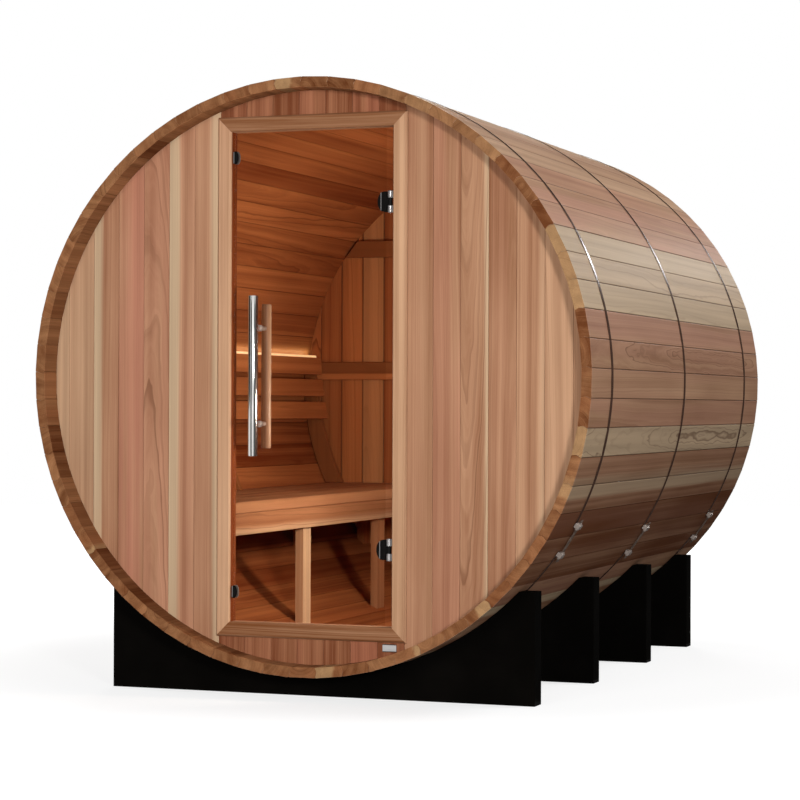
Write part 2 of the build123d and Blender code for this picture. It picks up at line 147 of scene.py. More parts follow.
class Tree:
    """Short names for the nodes that a procedural material needs."""

    def __init__(self, tree, output):
        self.tree = tree
        self.count = 0
        tree.nodes.clear()
        self.surface = self.node(output).inputs["Surface"]

    def node(self, kind, **settings):
        n = self.tree.nodes.new(kind)
        n.location = (200 * (self.count % 12), -260 * (self.count // 12))
        self.count += 1
        for key, value in settings.items():
            setattr(n, key, value)
        return n

    def put(self, socket, value):
        """Links a value to a socket, or sets the socket to a number, colour or vector."""
        if isinstance(value, Value):
            self.tree.links.new(value.socket, socket)
        else:
            socket.default_value = (*value, 1) if socket.type == "RGBA" else value

    def make(self, kind, values, output=0, **settings):
        """A node with its inputs set, by number or by name, and one of its outputs."""
        n = self.node(kind, **settings)
        for key, value in values.items() if isinstance(values, dict) else enumerate(values):
            self.put(n.inputs[key], value)
        return Value(self, n.outputs[output])

    def show(self, kind="ShaderNodeBsdfPrincipled", **sockets):
        """Ends the tree in a shader, whose sockets are named with _ for a space."""
        shader = self.make(kind, {key.replace("_", " "): value for key, value in sockets.items()})
        self.put(self.surface, shader)

    def math(self, op, *values, clamp=False):
        return self.make("ShaderNodeMath", values, operation=op, use_clamp=clamp)

    def vec(self, op, *values):
        return self.make("ShaderNodeVectorMath", values, operation=op)

    def xyz(self, v):
        n = self.node("ShaderNodeSeparateXYZ")
        self.put(n.inputs[0], v)
        return [Value(self, output) for output in n.outputs]

    def join(self, *values):
        return self.make("ShaderNodeCombineXYZ", values)

    def noise(self, vector, scale=1, detail=2, rough=0.5):
        values = {"Vector": vector, "Scale": scale, "Detail": detail, "Roughness": rough}
        return self.make("ShaderNodeTexNoise", values)

    def noise1(self, w, scale=1, detail=2, rough=0.5):
        values = {"W": w, "Scale": scale, "Detail": detail, "Roughness": rough}
        return self.make("ShaderNodeTexNoise", values, noise_dimensions="1D")

    def step(self, value, low, high, to_low=0, to_high=1):
        """Smooth step from one range to another."""
        values = (value, low, high, to_low, to_high)
        return self.make("ShaderNodeMapRange", values, interpolation_type="SMOOTHSTEP")

    def mix(self, factor, a, b):
        """From one colour to another."""
        return self.make("ShaderNodeMix", {0: factor, 6: a, 7: b}, 2, data_type="RGBA", clamp_factor=True)

    def attribute(self, name):
        return self.make("ShaderNodeAttribute", {}, "Vector", attribute_name=name)

    def here(self):
        return self.make("ShaderNodeTexCoord", {}, "Object")

    def seen(self):
        """1 for what the camera, a reflection or clear glass sees, 0 for light."""
        kinds = ("Camera", "Glossy", "Transmission")
        rays = [self.make("ShaderNodeLightPath", {}, f"Is {kind} Ray") for kind in kinds]
        return self.math("MAXIMUM", self.math("MAXIMUM", rays[0], rays[1]), rays[2])

    def bump(self, height, strength, distance):
        return self.make("ShaderNodeBump", {"Strength": strength, "Distance": distance, "Height": height})


def new_material(name):
    m = bpy.data.materials.new(name)
    m.use_nodes = True
    return m, Tree(m.node_tree, "ShaderNodeOutputMaterial")


def shaded(colour, share):
    return [c * share for c in colour]


# ---- cedar
def cedar(name, dark, light, pink, cream, contrast, roughness=0.5, gloss=0.05, end=False, wild=1, half=None):
    """Cedar. Each board carries its own coordinates (along, across and into the board, in
    metres) and its own traits, so that the grain follows every board."""
    m, t = new_material(name)
    u, v, d = t.xyz(t.attribute("grain"))
    seed, tone, red = t.xyz(t.attribute("traits"))
    sap_at, sap_side, figure = t.xyz(t.attribute("figure"))

    chance = t.make("ShaderNodeTexWhiteNoise", {"W": seed * 91.7}, "Color", noise_dimensions="1D")
    r1, r2, r3 = t.xyz(chance)
    far = t.make("ShaderNodeVectorMath", {0: chance, "Scale": 37}, operation="SCALE")
    place = t.vec("ADD", t.join(u, v, d), far)

    def stretched(x, y, **k):
        return t.noise(t.vec("MULTIPLY", place, (x, y, y)), **k)

    sway = stretched(0.9, 6, detail=1) - 0.5
    hook = stretched(5.5, 20) - 0.5
    ripple = stretched(4, 45) - 0.5

    # Growth rings round a pith below or beside the board, which slopes along a figured one
    plain = 1 - figure * 0.9
    pith_across = (r1 - 0.5) * 0.34 * plain
    pith_below = 0.012 + r2 * 0.05 + figure * 0.055
    slope = (0.030 + r3 * 0.03) * figure * t.math("SIGN", r2 - 0.5)
    across = v - pith_across + sway * 0.020
    below = d + pith_below + u * slope + sway * 0.044
    ring = t.math("SQRT", across * across + below * below)
    ring = ring + ripple * 0.0014 + hook * (0.0016 + figure * (0.014 * wild)) + seed * 3

    broad = t.noise1(ring, 40)
    fine = t.noise1(ring, 300, rough=0.6)
    saw = t.math("FRACT", ring * 92 + broad * 1.8)
    some = t.step(t.noise1(ring, 61, 0), 0.42, 0.66)
    line = t.step(saw, 0.62, 0.94) * t.step(saw, 1, 0.96) * (0.25 + some) * (0.08 + figure * 0.42)
    fibre = stretched(9, 620, detail=3, rough=0.6)
    streak = stretched(0.45, 30, detail=3)
    patch = stretched(1.3, 5)
    blush = stretched(0.7, 14)

    vary = (broad - 0.5) * 0.42
    for part, weight in ((streak, 0.55), (fine, 0.24), (patch, 0.46), (fibre, 0.20)):
        vary = vary + (part - 0.5) * weight
    level = t.math("ADD", tone + vary * contrast, 0, clamp=True)
    rosy = red * t.step(blush, 0.30, 0.60)
    colour = t.mix(rosy * 0.80, t.mix(level, dark, light), t.mix(level, shaded(pink, 0.62), pink))

    # Pale sapwood along one side of some boards
    edge = (v + sway * 0.016 - sap_at) * sap_side + (streak - 0.5) * 0.030
    sap = t.step(edge, -0.006, 0.009) * t.step(t.math("ABSOLUTE", sap_side), 0, 1)
    colour = t.mix(sap * 0.94, colour, t.mix(t.step(streak, 0.32, 0.68), shaded(cream, 0.80), cream))
    colour = t.mix(line, colour, (dark[0] * 0.52, dark[1] * 0.45, dark[2] * 0.42))

    # Small dark knots, few and far between
    spots = t.node("ShaderNodeTexVoronoi")
    t.put(spots.inputs["Vector"], t.vec("MULTIPLY", place, (1.5, 7, 2)))
    t.put(spots.inputs["Scale"], 1)
    lot = t.xyz(Value(t, spots.outputs["Color"]))[0]
    knot = t.step(Value(t, spots.outputs["Distance"]), 0.062, 0.028) * t.step(lot, 0.90, 0.93)
    colour = t.mix(knot * 0.8, colour, (dark[0] * 0.3, dark[1] * 0.22, dark[2] * 0.2))

    if half:
        # Painted shade along both edges of the board, so that the seams between boards read dark
        arris = t.step(t.math("ABSOLUTE", v), half - 0.0026, half - 0.0008)
        colour = t.mix(arris * 0.55, colour, shaded(dark, 0.35))
    if end:
        rays = t.noise(t.join(v * 700, d * 700, seed))
        colour = t.mix(t.step(rays, 0.25, 0.85, 0, 0.4), colour, shaded(dark, 0.45))

    t.show(
        Base_Color=colour,
        Roughness=roughness + (fibre - 0.5) * 0.22,
        Specular_IOR_Level=gloss,
        Normal=t.bump(fibre * 0.5 + (fine * 0.35 + line * -0.4), 0.35, 0.0006),
    )
    return m


STAVE = cedar(
    "stave_cedar_face",
    dark=(0.138, 0.044, 0.015), light=(0.505, 0.302, 0.181),
    pink=(0.460, 0.225, 0.150), cream=(0.475, 0.346, 0.222),
    roughness=0.55,
    gloss=0.045,
    wild=2.6,
    contrast=1.15,
    half=0.0460,
)
STAVE_END = cedar(
    "stave_cedar_end",
    dark=(0.116, 0.035, 0.011), light=(0.475, 0.230, 0.104),
    pink=(0.390, 0.135, 0.052), cream=(0.460, 0.265, 0.125),
    roughness=0.70,
    gloss=0.03,
    end=True,
    contrast=1.3,
)
INSIDE = cedar(
    "inside_cedar_face",
    dark=(0.148, 0.028, 0.006), light=(0.556, 0.206, 0.070),
    pink=(0.476, 0.136, 0.048), cream=(0.600, 0.285, 0.120),
    roughness=0.55,
    wild=1.3,
    contrast=1.25,
    half=0.0446,
)
WALL = cedar(
    "wall_cedar_face",
    dark=(0.205, 0.076, 0.033), light=(0.578, 0.333, 0.195),
    pink=(0.530, 0.215, 0.138), cream=(0.570, 0.400, 0.250),
    roughness=0.55,
    contrast=1.55,
)
# A darker, redder copy of the wall cedar for the boards over and under the door: painted shade
WALL_PAINTED_SHADE = cedar(
    "cedar_wall_painted_shade",
    dark=(0.150, 0.044, 0.017), light=(0.452, 0.208, 0.108),
    pink=(0.413, 0.138, 0.079), cream=(0.445, 0.256, 0.142),
    contrast=1.9,
)
TRIM = cedar(
    "trim_cedar_face",
    dark=(0.165, 0.052, 0.015), light=(0.640, 0.385, 0.228),
    pink=(0.560, 0.260, 0.165), cream=(0.660, 0.460, 0.290),
    contrast=1.4,
)
BENCH = cedar(
    "bench_cedar_face",
    dark=(0.165, 0.049, 0.016), light=(0.500, 0.262, 0.128),
    pink=(0.480, 0.188, 0.092), cream=(0.620, 0.425, 0.256),
    gloss=0.06,
    wild=1.6,
    contrast=1.3,
)
HANDLE_WOOD = cedar(
    "handle_cedar_face",
    dark=(0.200, 0.070, 0.026), light=(0.640, 0.380, 0.220),
    pink=(0.560, 0.260, 0.150), cream=(0.500, 0.320, 0.195),
    contrast=1,
    roughness=0.40,
    gloss=0.20,
)


# ---- other materials
def metal(name, colour, roughness, smudge, brushed=None, metallic=1, gloss=0.5):
    """Metal with faint marks; brushed is how the lines are stretched along x, y and z."""
    m, t = new_material(name)
    where = t.here()
    cloud = t.noise(where, 14, 3, 0.6)
    height = t.noise(t.vec("MULTIPLY", where, brushed or (900, 900, 900)))
    t.show(
        Base_Color=t.mix(t.step(cloud, 0.3, 0.75), shaded(colour, 0.86), colour),
        Metallic=metallic,
        Roughness=roughness + (cloud - 0.5) * smudge + (height - 0.5) * (smudge * 0.8),
        Specular_IOR_Level=gloss,
        Normal=t.bump(height, 0.12 if brushed else 0.05, 0.0002),
    )
    return m


CHROME = metal("chrome_polished", (0.60, 0.585, 0.56), 0.14, 0.05, (300, 300, 12))
COLLAR_STEEL = metal("collar_steel_satin", (0.62, 0.52, 0.46), 0.34, 0.08, metallic=0.8)
HINGE_STEEL = metal("hinge_steel_satin", (0.34, 0.32, 0.31), 0.36, 0.10, metallic=0.75)
BLACK_METAL = metal("black_metal_satin", (0.0060, 0.0055, 0.0050), 0.40, 0.08, metallic=0, gloss=0.05)
HOOP_STEEL = metal("hoop_steel_dark", (0.085, 0.045, 0.032), 0.25, 0.06, (40, 900, 40), 0, 0.03)
ZINC = metal("zinc_plate", (0.41, 0.345, 0.305), 0.46, 0.16, metallic=0.3, gloss=0.25)
ROD_STEEL = metal("rod_steel", (0.15, 0.108, 0.085), 0.46, 0.10, metallic=0.4, gloss=0.2)
PLATE_BACK = metal("plate_backing_dark", (0.050, 0.038, 0.032), 0.50, 0.10, metallic=0.2, gloss=0.2)
PLATE = metal("plate_aluminium", (0.62, 0.61, 0.60), 0.36, 0.08, (20, 700, 700), 0.5)


def black_paint():
    m, t = new_material("black_paint_matte")
    where = t.here()
    grain = t.noise(t.vec("MULTIPLY", where, (3, 60, 60)), 1, 3, 0.6)
    stipple = t.noise(where, 420)
    worn = t.noise(where, 5, 3)
    t.show(
        Base_Color=t.mix(t.step(worn, 0.4, 0.8), (0.0016, 0.0013, 0.0010), (0.0030, 0.0025, 0.0020)),
        Roughness=0.60 + grain * 0.2,
        Specular_IOR_Level=0.015,
        Normal=t.bump(grain * 0.7 + stipple * 0.3, 0.3, 0.0008),
    )
    return m


def lamp():
    """Warm diffuser with a faint pattern of the diodes behind it."""
    m, t = new_material("lamp_warm")
    dots = t.noise(t.vec("MULTIPLY", t.here(), (1, 60, 1)), 1, 1)
    t.show(
        Base_Color=(0.9, 0.75, 0.5),
        Roughness=0.5,
        Emission_Color=t.mix(dots, (1, 0.58, 0.26), (1, 0.66, 0.33)),
        Emission_Strength=0.80,
    )
    return m


def door_glass():
    """Bronze-tinted pane: what is behind it shows through unbent, and it mirrors a little."""
    m, t = new_material("door_glass_bronze")
    tint = t.mix(t.noise(t.here(), 3), (0.952, 0.930, 0.905), (0.962, 0.942, 0.920))
    clear = t.make("ShaderNodeBsdfTransparent", {"Color": tint})
    shine = t.make("ShaderNodeBsdfGlossy", {"Color": (1, 1, 1), "Roughness": 0.02})
    fresnel = t.make("ShaderNodeFresnel", {"IOR": 1.45})
    t.put(t.surface, t.make("ShaderNodeMixShader", (fresnel * 0.30, clear, shine)))
    return m


BLACK_PAINT = black_paint()
LAMP = lamp()
DOOR_GLASS = door_glass()


# ---- mesh helpers
PLAIN = (0.5, 0.5, 0.3)


def place_object(name, data):
    obj = bpy.data.objects.new(name, data)
    bpy.context.scene.collection.objects.link(obj)
    return obj


class Builder:
    """Collects closed solids with their grain coordinates and traits, then makes one object."""

    def __init__(self):
        self.verts, self.faces, self.kinds = [], [], []
        self.grain, self.traits, self.figure = [], [], []

    def skin(self, loops, place, grain, kinds=0, caps=0, traits=PLAIN, figure=(0, 0, 0), end_traits=None):
        """A closed solid through outlines of as many points each, at their own stations. place
        turns (station, p, q) into the row frame, and grain gives its coordinates in the board, in
        millimetres. kinds and caps are the materials of its sides and of its two ends."""
        base, n = len(self.verts), len(loops[0][1])
        for station, outline in loops:
            self.verts += [place(station, p, q) for p, q in outline]
            self.grain += [[g * MM for g in grain(station, p, q)] for p, q in outline]
        sides = (len(loops) - 1) * n
        for k in range(sides):
            i, j = base + k, base + k - k % n + (k + 1) % n
            self.faces.append([i, j, j + n, i + n])
        self.faces.append(list(range(base, base + n))[::-1])
        self.faces.append(list(range(base + sides, base + sides + n)))
        self.kinds += (kinds if isinstance(kinds, list) else [kinds] * sides) + [caps, caps]
        self.traits += [traits] * sides + [end_traits or traits] * 2
        self.figure += [figure] * (sides + 2)

    def make(self, name, slot, node, *materials, body="cabin", sharp=35):
        mesh = bpy.data.meshes.new(name)
        mesh.from_pydata([tuple(p) for p in self.verts], [], self.faces)
        for key, where, data in (
            ("grain", "POINT", self.grain),
            ("traits", "FACE", self.traits),
            ("figure", "FACE", self.figure),
        ):
            layer = mesh.attributes.new(key, "FLOAT_VECTOR", where)
            layer.data.foreach_set("vector", [c for p in data for c in p])
        for m in materials:
            mesh.materials.append(m)
        mesh.polygons.foreach_set("material_index", self.kinds)
        mesh.polygons.foreach_set("use_smooth", [True] * len(self.faces))
        bm = bmesh.new()
        bm.from_mesh(mesh)
        bmesh.ops.recalc_face_normals(bm, faces=bm.faces)
        bm.to_mesh(mesh)
        bm.free()
        mesh.set_sharp_from_angle(angle=math.radians(sharp))
        obj = place_object(name, mesh)
        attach(obj, body)
        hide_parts(node)


def same(station, p, q):
    """Grain that runs from station to station."""
    return station, p, q


def inset(points, amount):
    """A closed outline moved inwards by an amount, corner by corner."""
    before, after = points[-1:] + points[:-1], points[1:] + points[:1]
    area = sum(p[0] * q[1] - q[0] * p[1] for p, q in zip(points, after))
    side = 1 if area > 0 else -1
    moved = []
    for (ax, ay), (bx, by), (cx, cy) in zip(before, points, after):
        e1 = Vector((bx - ax, by - ay)).normalized()
        e2 = Vector((cx - bx, cy - by)).normalized()
        n1 = Vector((-e1.y, e1.x)) * side
        n2 = Vector((-e2.y, e2.x)) * side
        middle = n1 + n2
        if middle.length < 1e-6:
            middle = n1
        middle.normalize()
        reach = amount / max(0.5, middle.dot(n1))
        moved.append((bx + middle.x * reach, by + middle.y * reach))
    return moved


def bar(outline, start, end, bevel):
    """The stations of a bar with both its ends bevelled."""
    small = inset(outline, bevel)
    return [(start, small), (start + bevel, outline), (end - bevel, outline), (end, small)]


def arc(cx, cy, rx, ry, start, stop, steps):
    """Points along a round or oval arc between two angles in degrees."""
    angles = [math.radians(start + (stop - start) * k / steps) for k in range(steps + 1)]
    return [(cx + rx * math.cos(a), cy + ry * math.sin(a)) for a in angles]


def oblong(x0, x1, y0, y1):
    return [(x0, y0), (x1, y0), (x1, y1), (x0, y1)]


def rounded(width, height, radius, steps=3):
    """Rectangle about the origin with rounded corners."""
    x, y = width / 2 - radius, height / 2 - radius
    points = []
    for cx, cy, start in ((x, y, 0), (-x, y, 90), (-x, -y, 180), (x, -y, 270)):
        points += arc(cx, cy, radius, radius, start, start + 90, steps)
    return points


def turned(length, end):
    """Profile of a turned bar, as (along, radius), from the shape of its end."""
    return end + [(length - s, r) for s, r in reversed(end)]


def traits_of(rng, tone=None, red=None, sap=None, figure=None):
    """A board's own numbers: seed, tone and redness, then where its sapwood is and its figure."""
    seed = rng.uniform(0, 1)
    tone = rng.uniform(0.35, 0.75) if tone is None else tone
    red = rng.uniform(0.1, 0.8) if red is None else red
    if figure is None:
        figure = rng.uniform(0.5, 0.9) if rng.random() < 0.28 else rng.uniform(0, 0.15)
    sap = sap or (0, 0)
    return dict(traits=(seed, tone, red), figure=(sap[0] * MM, sap[1], figure))


def box_board(b, x, depth, height, along, rng, radius, **known):
    """A board between two x, two depths and two heights, with its grain along x, y or z."""
    spans = {"x": x, "y": depth, "z": height}
    size = {k: abs(v[1] - v[0]) for k, v in spans.items()}
    mid = {k: (v[0] + v[1]) / 2 for k, v in spans.items()}
    wide, thin = sorted((k for k in "xyz" if k != along), key=lambda k: -size[k])

    def place(s, a, d):
        c = {along: s, wide: mid[wide] + a, thin: mid[thin] + d}
        return at(c["x"], c["y"], c["z"])

    radius = min(radius, 0.4 * size[thin])
    section = rounded(size[wide], size[thin], radius)
    b.skin(bar(section, *sorted(spans[along]), radius * 0.6), place, same, **traits_of(rng, **known))


def prism(b, outline, front, back, bevel, kind=0, upright=True, **looks):
    """An outline in (x, height) carried from one depth to another, its grain upright or level."""

    def place(depth, x, z):
        return at(x, depth, z)

    def grain(depth, x, z):
        return (z, x, depth) if upright else (x, z, depth)

    b.skin(bar(outline, front, back, bevel), place, grain, kind, kind, **looks)


def rod(b, start, end, radius, sides=24, bevel=0.8, kind=0, profile=None, tone=0.62, sap=(0, 0)):
    """A round bar between two places, in millimetres, or one turned to a profile."""
    a, c = at(*start), at(*end)
    axis = (c - a).normalized()
    side = axis.orthogonal().normalized()
    other = axis.cross(side)
    profile = profile or turned((c - a).length / MM, [(0, radius - bevel), (bevel, radius)])
    loops = [(s, arc(0, 0, r, r, 0, 360, sides)[:-1]) for s, r in profile]

    def place(s, p, q):
        return a + axis * s * MM + (side * p + other * q) * MM

    b.skin(loops, place, same, kind, kind, (0.37, tone, 0.3), (sap[0] * MM, sap[1], 0.1))


# ---- staves
def stave_outline():
    """Section of one stave in (across, out from the axis), bead on one side and cove on the other."""
    slope = math.tan(HALF)
    outer = RADIUS * math.cos(HALF)
    inner = outer - STAVE_T
    chamfer, ledge, bead = 2.2, 3.5, 4

    def edge(radius):
        return radius * slope - GAP / 2

    shoulder = outer - chamfer
    start, stop = inner + ledge, shoulder - ledge
    side = [(edge(inner) - 0.9, inner, 0), (edge(inner) - 0.1, inner + 0.8, 0), (edge(start), start, 0)]
    for k in range(1, 8):
        r = start + (stop - start) * k / 8
        side.append((edge(r), r, bead * math.sin(math.pi * k / 8)))
    side += [(edge(stop), stop, 0), (edge(shoulder), shoulder, 0)]
    side += [(edge(outer) - x, outer - z, 0) for x, z in ((0.9, 0.75), (2.4, 0.1), (4.5, 0))]
    return [(x + out, r) for x, r, out in side] + [(out - x, r) for x, r, out in reversed(side)]


# By stave: tone, redness and figure, and on some where pale sapwood starts across it and which way
# Staves 57 to 61, low on the right, take the lowest tones, so the barrel darkens towards its underside:
# painted shade on top of the shade that the lamps give
STAVE_LOOKS = {
    12: (0.64, 0.10, 0.1, -60, 0.35), 11: (0.58, 0.10, 0.1, -60, 0.5), 10: (0.54, 0.20, 0.3, -60, 0.3),
    9: (0.60, 0.15, 0.1, -60, 0.3), 8: (0.62, 0.25, 0.1, -60, 0.4), 7: (0.60, 0.50, 0.1),
    6: (0.60, 0.85, 0.1), 5: (0.62, 0.90, 0.2), 4: (0.80, 0.10, 0.05, -60, 0.9),
    3: (0.76, 0.05, 0.3, -60, 0.8), 2: (0.80, 0.05, 0.1, -60, 1), 1: (0.60, 0.75, 0.1),
    0: (0.52, 0.45, 0.75), 64: (0.66, 0.30, 0.15), 63: (0.54, 0.60, 0.15), 62: (0.80, 0.00, 1, -60, 0.9),
    61: (0.33, 0.25, 0.1, -24, -0.6), 60: (0.28, 0.20, 0.1, 6, 0.7), 59: (0.00, 0.30, 0.1),
    58: (0.16, 0.15, 0.1), 57: (0.10, 0.15, 0.1), 17: (0.56, 0.30, 0.1), 18: (0.66, 0.30, 0.1),
    19: (0.52, 0.15, 0.2), 20: (0.66, 0.10, 0.1), 21: (0.46, 0.20, 0.3), 22: (0.14, 0.30, 0.1),
    23: (0.52, 0.00, 0.4), 24: (0.74, 0.10, 0.6), 25: (0.60, 0.10, 0.5), 26: (0.44, 0.10, 0.7),
    27: (0.60, 0.10, 0.1), 28: (0.60, 0.20, 0.3), 29: (0.42, 0.20, 0.1), 30: (0.50, 0.00, 0.1),
    31: (0.44, 0.20, 0.1), 34: (0.14, 0.20, 0.4), 35: (0.20, 0.10, 0.1), 36: (0.56, 0.20, 0.5),
    37: (0.34, 0.20, 0.1), 39: (0.20, 0.20, 0.1), 40: (0.26, 0.10, 0.3), 41: (0.08, 0.20, 0.1),
    42: (0.22, 0.10, 0.6), 43: (0.34, 0.20, 0.1), 44: (0.34, 0.30, 0.2), 45: (0.26, 0.20, 0.1),
}

# Tones of the stave ends that show in the rim, clockwise from the top
END_TONES = dict(zip((*range(15, -1, -1), *range(64, 58, -1)), (
    0.25, 0.15, 0.40, 0.20, 0.25, 0.45, 0.30, 0.45, 0.15, 0.25, 0.04,
    0.42, 0.34, 0.38, 0.12, 0.08, 0.30, 0.20, 0.26, 0.36, 0.44, 0.34,
)))


def end_tone(rng, index):
    """Tone of a stave's ends: a chance one is paler on the left, and a little on the underside."""
    side = 0.12 if 16 < index < 35 else 0.08 if index < 59 else 0
    return END_TONES.get(index, rng.uniform(0.18, 0.42) + side)


def make_staves():
    outline = stave_outline()
    n = len(outline)
    middle = RADIUS * math.cos(HALF)
    room_face = 2 * middle - STAVE_T
    rng = random.Random(7)
    per_group = STAVES // 5
    for group in range(5):
        b = Builder()
        for i in range(group * per_group, (group + 1) * per_group):
            drop = rng.uniform(0, 0.5)
            short = rng.uniform(0, 0.9)
            place = around(math.radians(FIRST_JOINT + PITCH * (i + 0.5)), -drop)
            tone, red, figure, *sap = STAVE_LOOKS.get(i, (None, None, None))
            if tone is None:
                tone = rng.uniform(0.40, 0.80)
                red = rng.uniform(0.1, 0.85)
                if rng.random() < 0.3:
                    sap = (rng.uniform(-20, 30), 1) if rng.random() < 0.5 else (rng.uniform(-30, 20), -1)
            looks = traits_of(rng, tone, red, sap, figure)
            looks["end_traits"] = (looks["traits"][0], end_tone(rng, i), rng.uniform(0, 0.5))
            loops = bar(outline, short, LENGTH, 0.6)
            loops[2:2] = [(FRONT_WALL[0] + 2, outline), (BACK_WALL[1] - 2, outline)]
            # The inner face is red between the two walls and as pale as the ends on the overhangs
            inner = [outline[k][1] + outline[(k + 1) % n][1] < room_face for k in range(n)]
            kinds = [(2 if k // n == 2 else 1) if inner[k % n] else 0 for k in range((len(loops) - 1) * n)]
            b.skin(loops, place, lambda s, a, r: (s, a, r - middle), kinds, 1, **looks)
        node = f"staves_{group + 1}"
        b.make(f"{node}_dressed", "stave_cedar", node, STAVE, STAVE_END, INSIDE)


# ---- end walls
def by_height(end, x, d):
    """For upright pieces: end gives the height of their foot or head at x."""
    return at(x, d, end(x))


def wall_part(b, x0, x1, low, high, depths, ease=(1, 1), inside="back", **looks):
    """An upright board between two x, from low(x) to high(x), with its long edges eased."""
    front, back = depths
    a0, a1 = math.asin(max(-1, x0 / WALL_REACH)), math.asin(min(1, x1 / WALL_REACH))
    steps = 14 if max(abs(x0), abs(x1)) > 700 else 6
    inner_x = [WALL_REACH * math.sin(a0 + (a1 - a0) * k / steps) for k in range(steps + 1)]
    e0, e1 = ease
    xs = [x0 + e0] + [x for x in inner_x if x0 + 2 * e0 < x < x1 - 2 * e1] + [x1 - e1]
    outline = [(x0, front + e0 * 0.9)] + [(x, front) for x in xs] + [(x1, front + e1 * 0.9)]
    outline += [(x1, back - e1 * 0.9)] + [(x, back) for x in reversed(xs)] + [(x0, back - e0 * 0.9)]
    mid = (x0 + x1) / 2
    room = back if inside == "back" else front
    depths_of = [d for _, d in outline]
    kinds = [int(room in pair) for pair in zip(depths_of, depths_of[1:] + depths_of[:1])]

    def grain(end, x, d):
        return end(x), x - mid, d - front

    b.skin([(low, outline), (high, outline)], by_height, grain, kinds, **looks)


def arc_top(x):
    return half_chord(WALL_REACH, x)


def arc_bottom(x):
    return -arc_top(x)


# The same for the front boards, from left to right
FRONT_LOOKS = [
    (0.66, 0.00, 0.1, -60, 0.5), (0.60, 0.05, 0.1, -60, 0.35), (0.36, 0.20, 0.1, -16, -1),
    (0.50, 1.00, 0.05), (0.50, 0.50, 0.75), (0.56, 0.40, 0.1, -9, -1), (0.48, 0.20, 0.1, 16, 0.8),
    (0.40, 0.25, 0.1), (0.30, 0.30, 0.1), (0.40, 0.20, 0.2), (0.34, 0.40, 0.1), (0.42, 0.10, 0.1),
    (0.26, 0.70, 0.1), (0.40, 0.20, 0.1), (0.46, 0.15, 0.15), (0.32, 0.50, 0.15),
    (0.46, 0.10, 0.70, 38, 0.8), (0.24, 0.20, 0.15), (0.50, 0.05, 0.15, 30, 0.5),
    (0.60, 0.05, 0.1, -60, 0.25), (0.54, 0.10, 0.1),
]
# Tone, redness and figure of the back boards that show through the door
BACK_LOOKS = {1: (0.60, 0.2, 0.1), 2: (0.90, 0.1, 0.3), 3: (1, 0, 0.4), 4: (0.42, 0.5, 0.1)}


def board_spans(first, pitch):
    """From and to of the boards across a wall, from a joint and the pitch of the boards."""
    joint = 0.7
    narrowest = 8
    low = first
    while low - pitch > -WALL_REACH + narrowest:
        low -= pitch
    edges = [-WALL_REACH]
    while low < WALL_REACH - narrowest:
        edges.append(low)
        low += pitch
    edges.append(WALL_REACH)
    return [(a + joint / 2, b - joint / 2) for a, b in zip(edges, edges[1:])]


def make_front_wall():
    frame_x = OPEN_X + JAMB + GAP
    over = OPEN_TOP + JAMB + GAP
    under = OPEN_BOTTOM - JAMB - GAP
    rng = random.Random(21)
    parts = {k: Builder() for k in ("left", "right", "over_door", "under_door")}
    for k, (x0, x1) in enumerate(board_spans(45.65, 91.3)):
        tone, red, figure, *sap = FRONT_LOOKS[min(k, len(FRONT_LOOKS) - 1)]
        common = dict(traits_of(rng, tone, red, sap, figure), depths=FRONT_WALL)
        if x1 <= -frame_x or x0 >= frame_x:
            side = "left" if x1 < 0 else "right"
            wall_part(parts[side], x0, x1, arc_bottom, arc_top, **common)
            continue
        if x0 < -frame_x:
            wall_part(parts["left"], x0, -frame_x, lambda x: under, lambda x: over, ease=(1, 0.2), **common)
        if x1 > frame_x:
            wall_part(parts["right"], frame_x, x1, lambda x: under, lambda x: over, ease=(0.2, 1), **common)
        # Over and under the door the boards alternate in tone, as boards do, and drop in tone on the whole:
        # painted shade
        seed, tone, red = common["traits"]
        common["traits"] = (seed, tone + (-0.20 if k % 2 else 0.06), red)
        wall_part(parts["over_door"], x0, x1, lambda x: over, arc_top, **common)
        wall_part(parts["under_door"], x0, x1, arc_bottom, lambda x: under, **common)
    for key, b in parts.items():
        # The boards over and under the door take the copy of the wall cedar with painted shade
        face = WALL_PAINTED_SHADE if "door" in key else WALL
        b.make(f"front_wall_{key}_boards", "wall_cedar", f"front_wall_{key}", face, INSIDE)


def make_back_wall():
    rng = random.Random(33)
    b = Builder()
    for k, (x0, x1) in enumerate(board_spans(-579, 93)):
        tone, red, fig = BACK_LOOKS.get(k, (rng.uniform(0.50, 0.72), rng.uniform(0.1, 0.6), None))
        looks = traits_of(rng, tone, red, (-60, 0.8) if k == 3 else None, fig)
        wall_part(b, x0, x1, arc_bottom, arc_top, BACK_WALL, inside="front", **looks)
    b.make("back_wall_boards", "wall_cedar", "back_wall", WALL, INSIDE)

    b = Builder()
    back = BACK_WALL[0] - GAP
    upper, end_room = INNER - 325.9, 8
    for low, high in ((upper - 68, upper), (18, 90)):
        half_low, half_high = (half_chord(INNER - end_room, z) for z in (low, high))
        looks = traits_of(rng, 0.95, 0.1, None, 0.2)
        outline = [(-half_low, low), (half_low, low), (half_high, high), (-half_high, high)]
        prism(b, outline, back - BATTEN_T, back, 2, upright=False, **looks)
    b.make("back_wall_batten_boards", "wall_cedar", "back_wall_battens", INSIDE)


